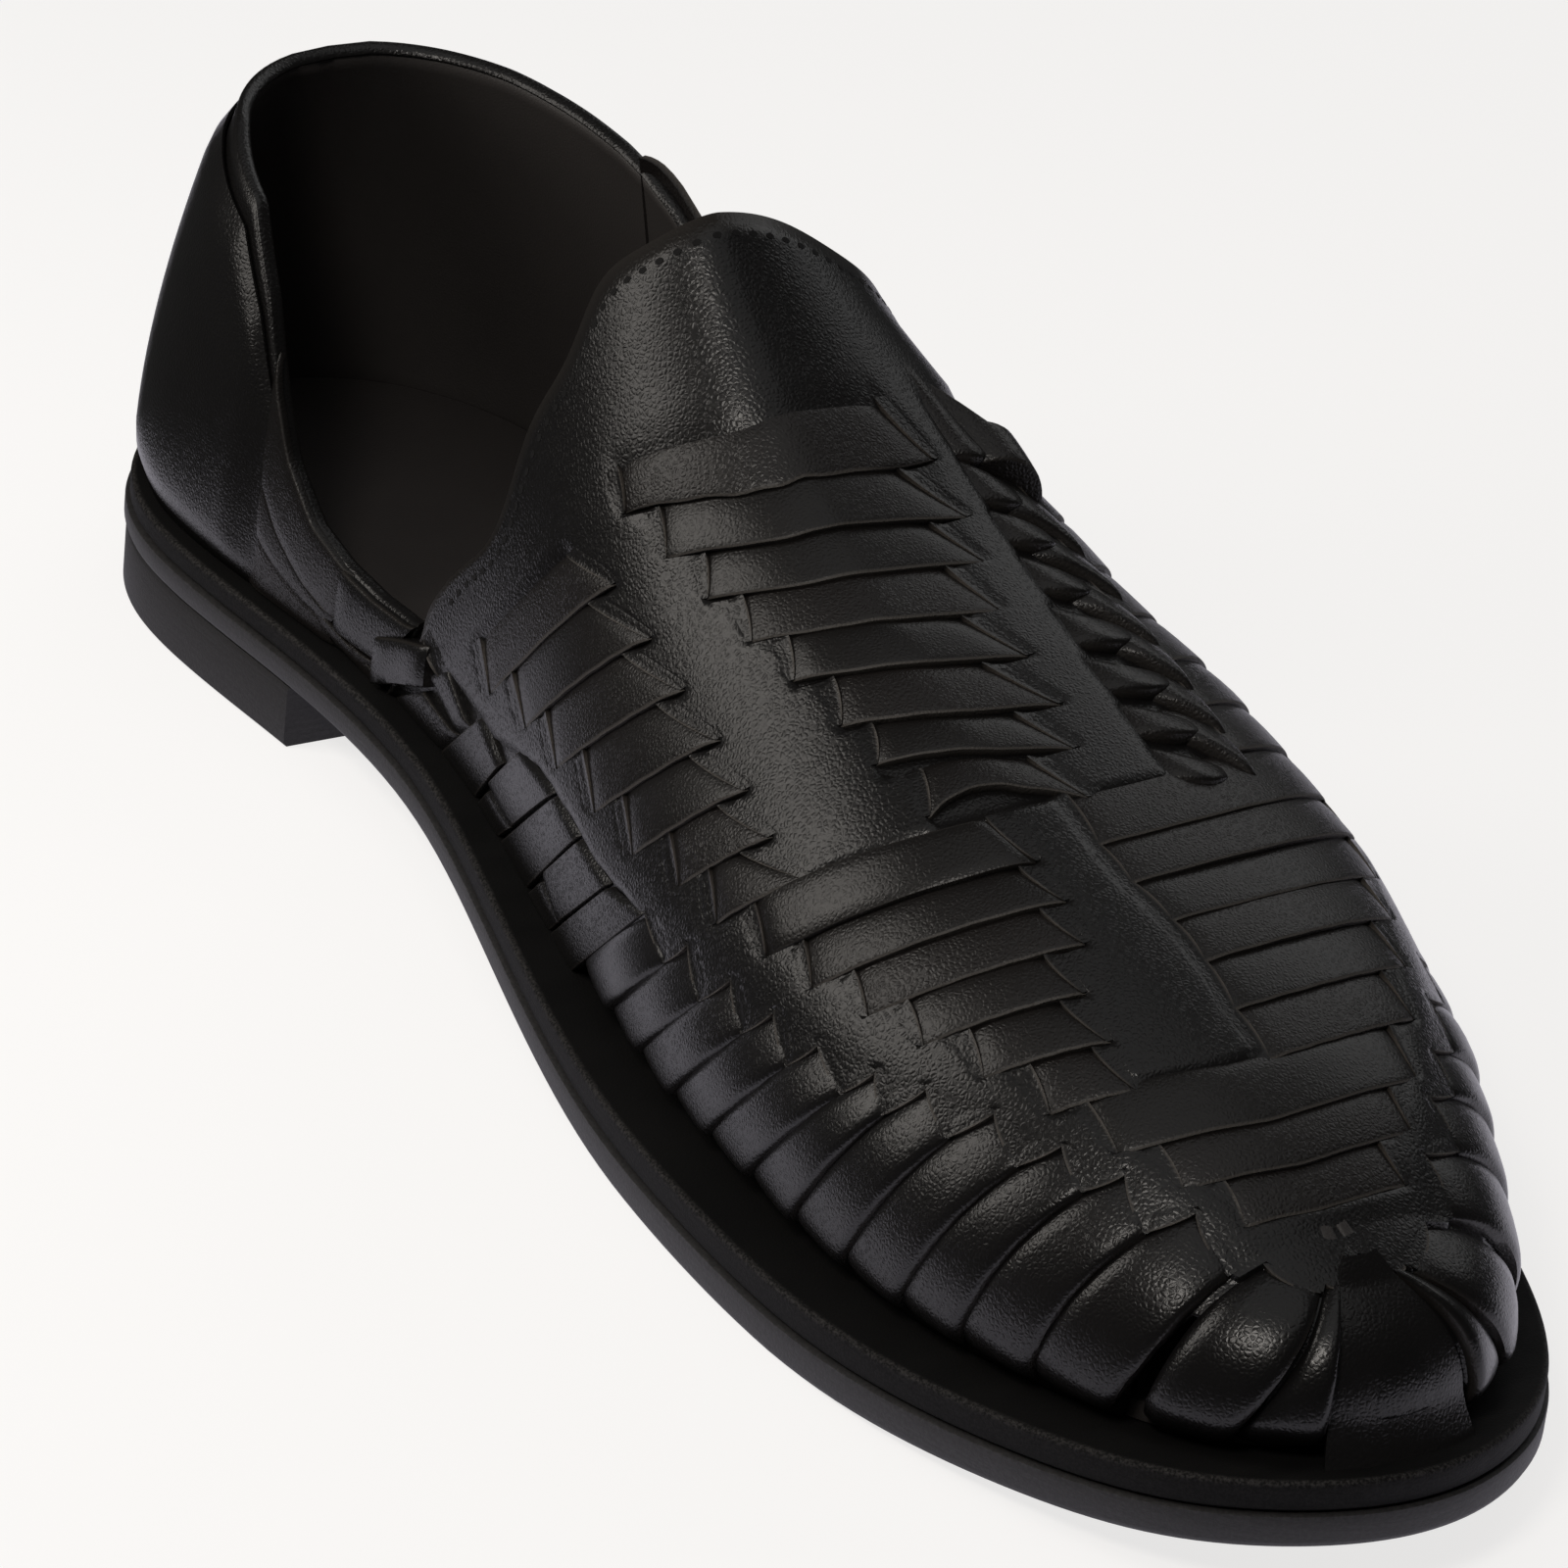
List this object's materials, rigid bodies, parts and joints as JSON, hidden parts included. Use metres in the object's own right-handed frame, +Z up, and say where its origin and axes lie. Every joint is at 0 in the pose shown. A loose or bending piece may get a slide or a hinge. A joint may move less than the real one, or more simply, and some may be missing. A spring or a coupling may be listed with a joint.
{
  "type": "huarache",
  "caption": "Left woven leather slip-on shoe: hollow strip-woven upper with a round throat tab, open collar, layered flat sole with toe spring and a low heel block.",
  "frame": {"origin": "middle of the shoe's length and width, at floor level", "axes": "+X to the toe, +Y to the outer side of the foot, +Z up"},
  "size_m": [0.2924, 0.0992, 0.0944],
  "materials": {
    "outsole_rubber": "matt dark grey",
    "heel_rubber": "matt dark grey",
    "midsole_leather": "dyed black edge",
    "insole_leather": "smooth near-black brown",
    "upper_leather": "grained black, soft sheen",
    "counter_leather": "grained black, soft sheen"
  },
  "bodies": {
    "root": {"outsole": "outsole_rubber", "heel": "heel_rubber", "midsole": "midsole_leather", "insole": "insole_leather", "upper": "upper_leather", "heel_counter": "counter_leather"}
  },
  "joints": []
}
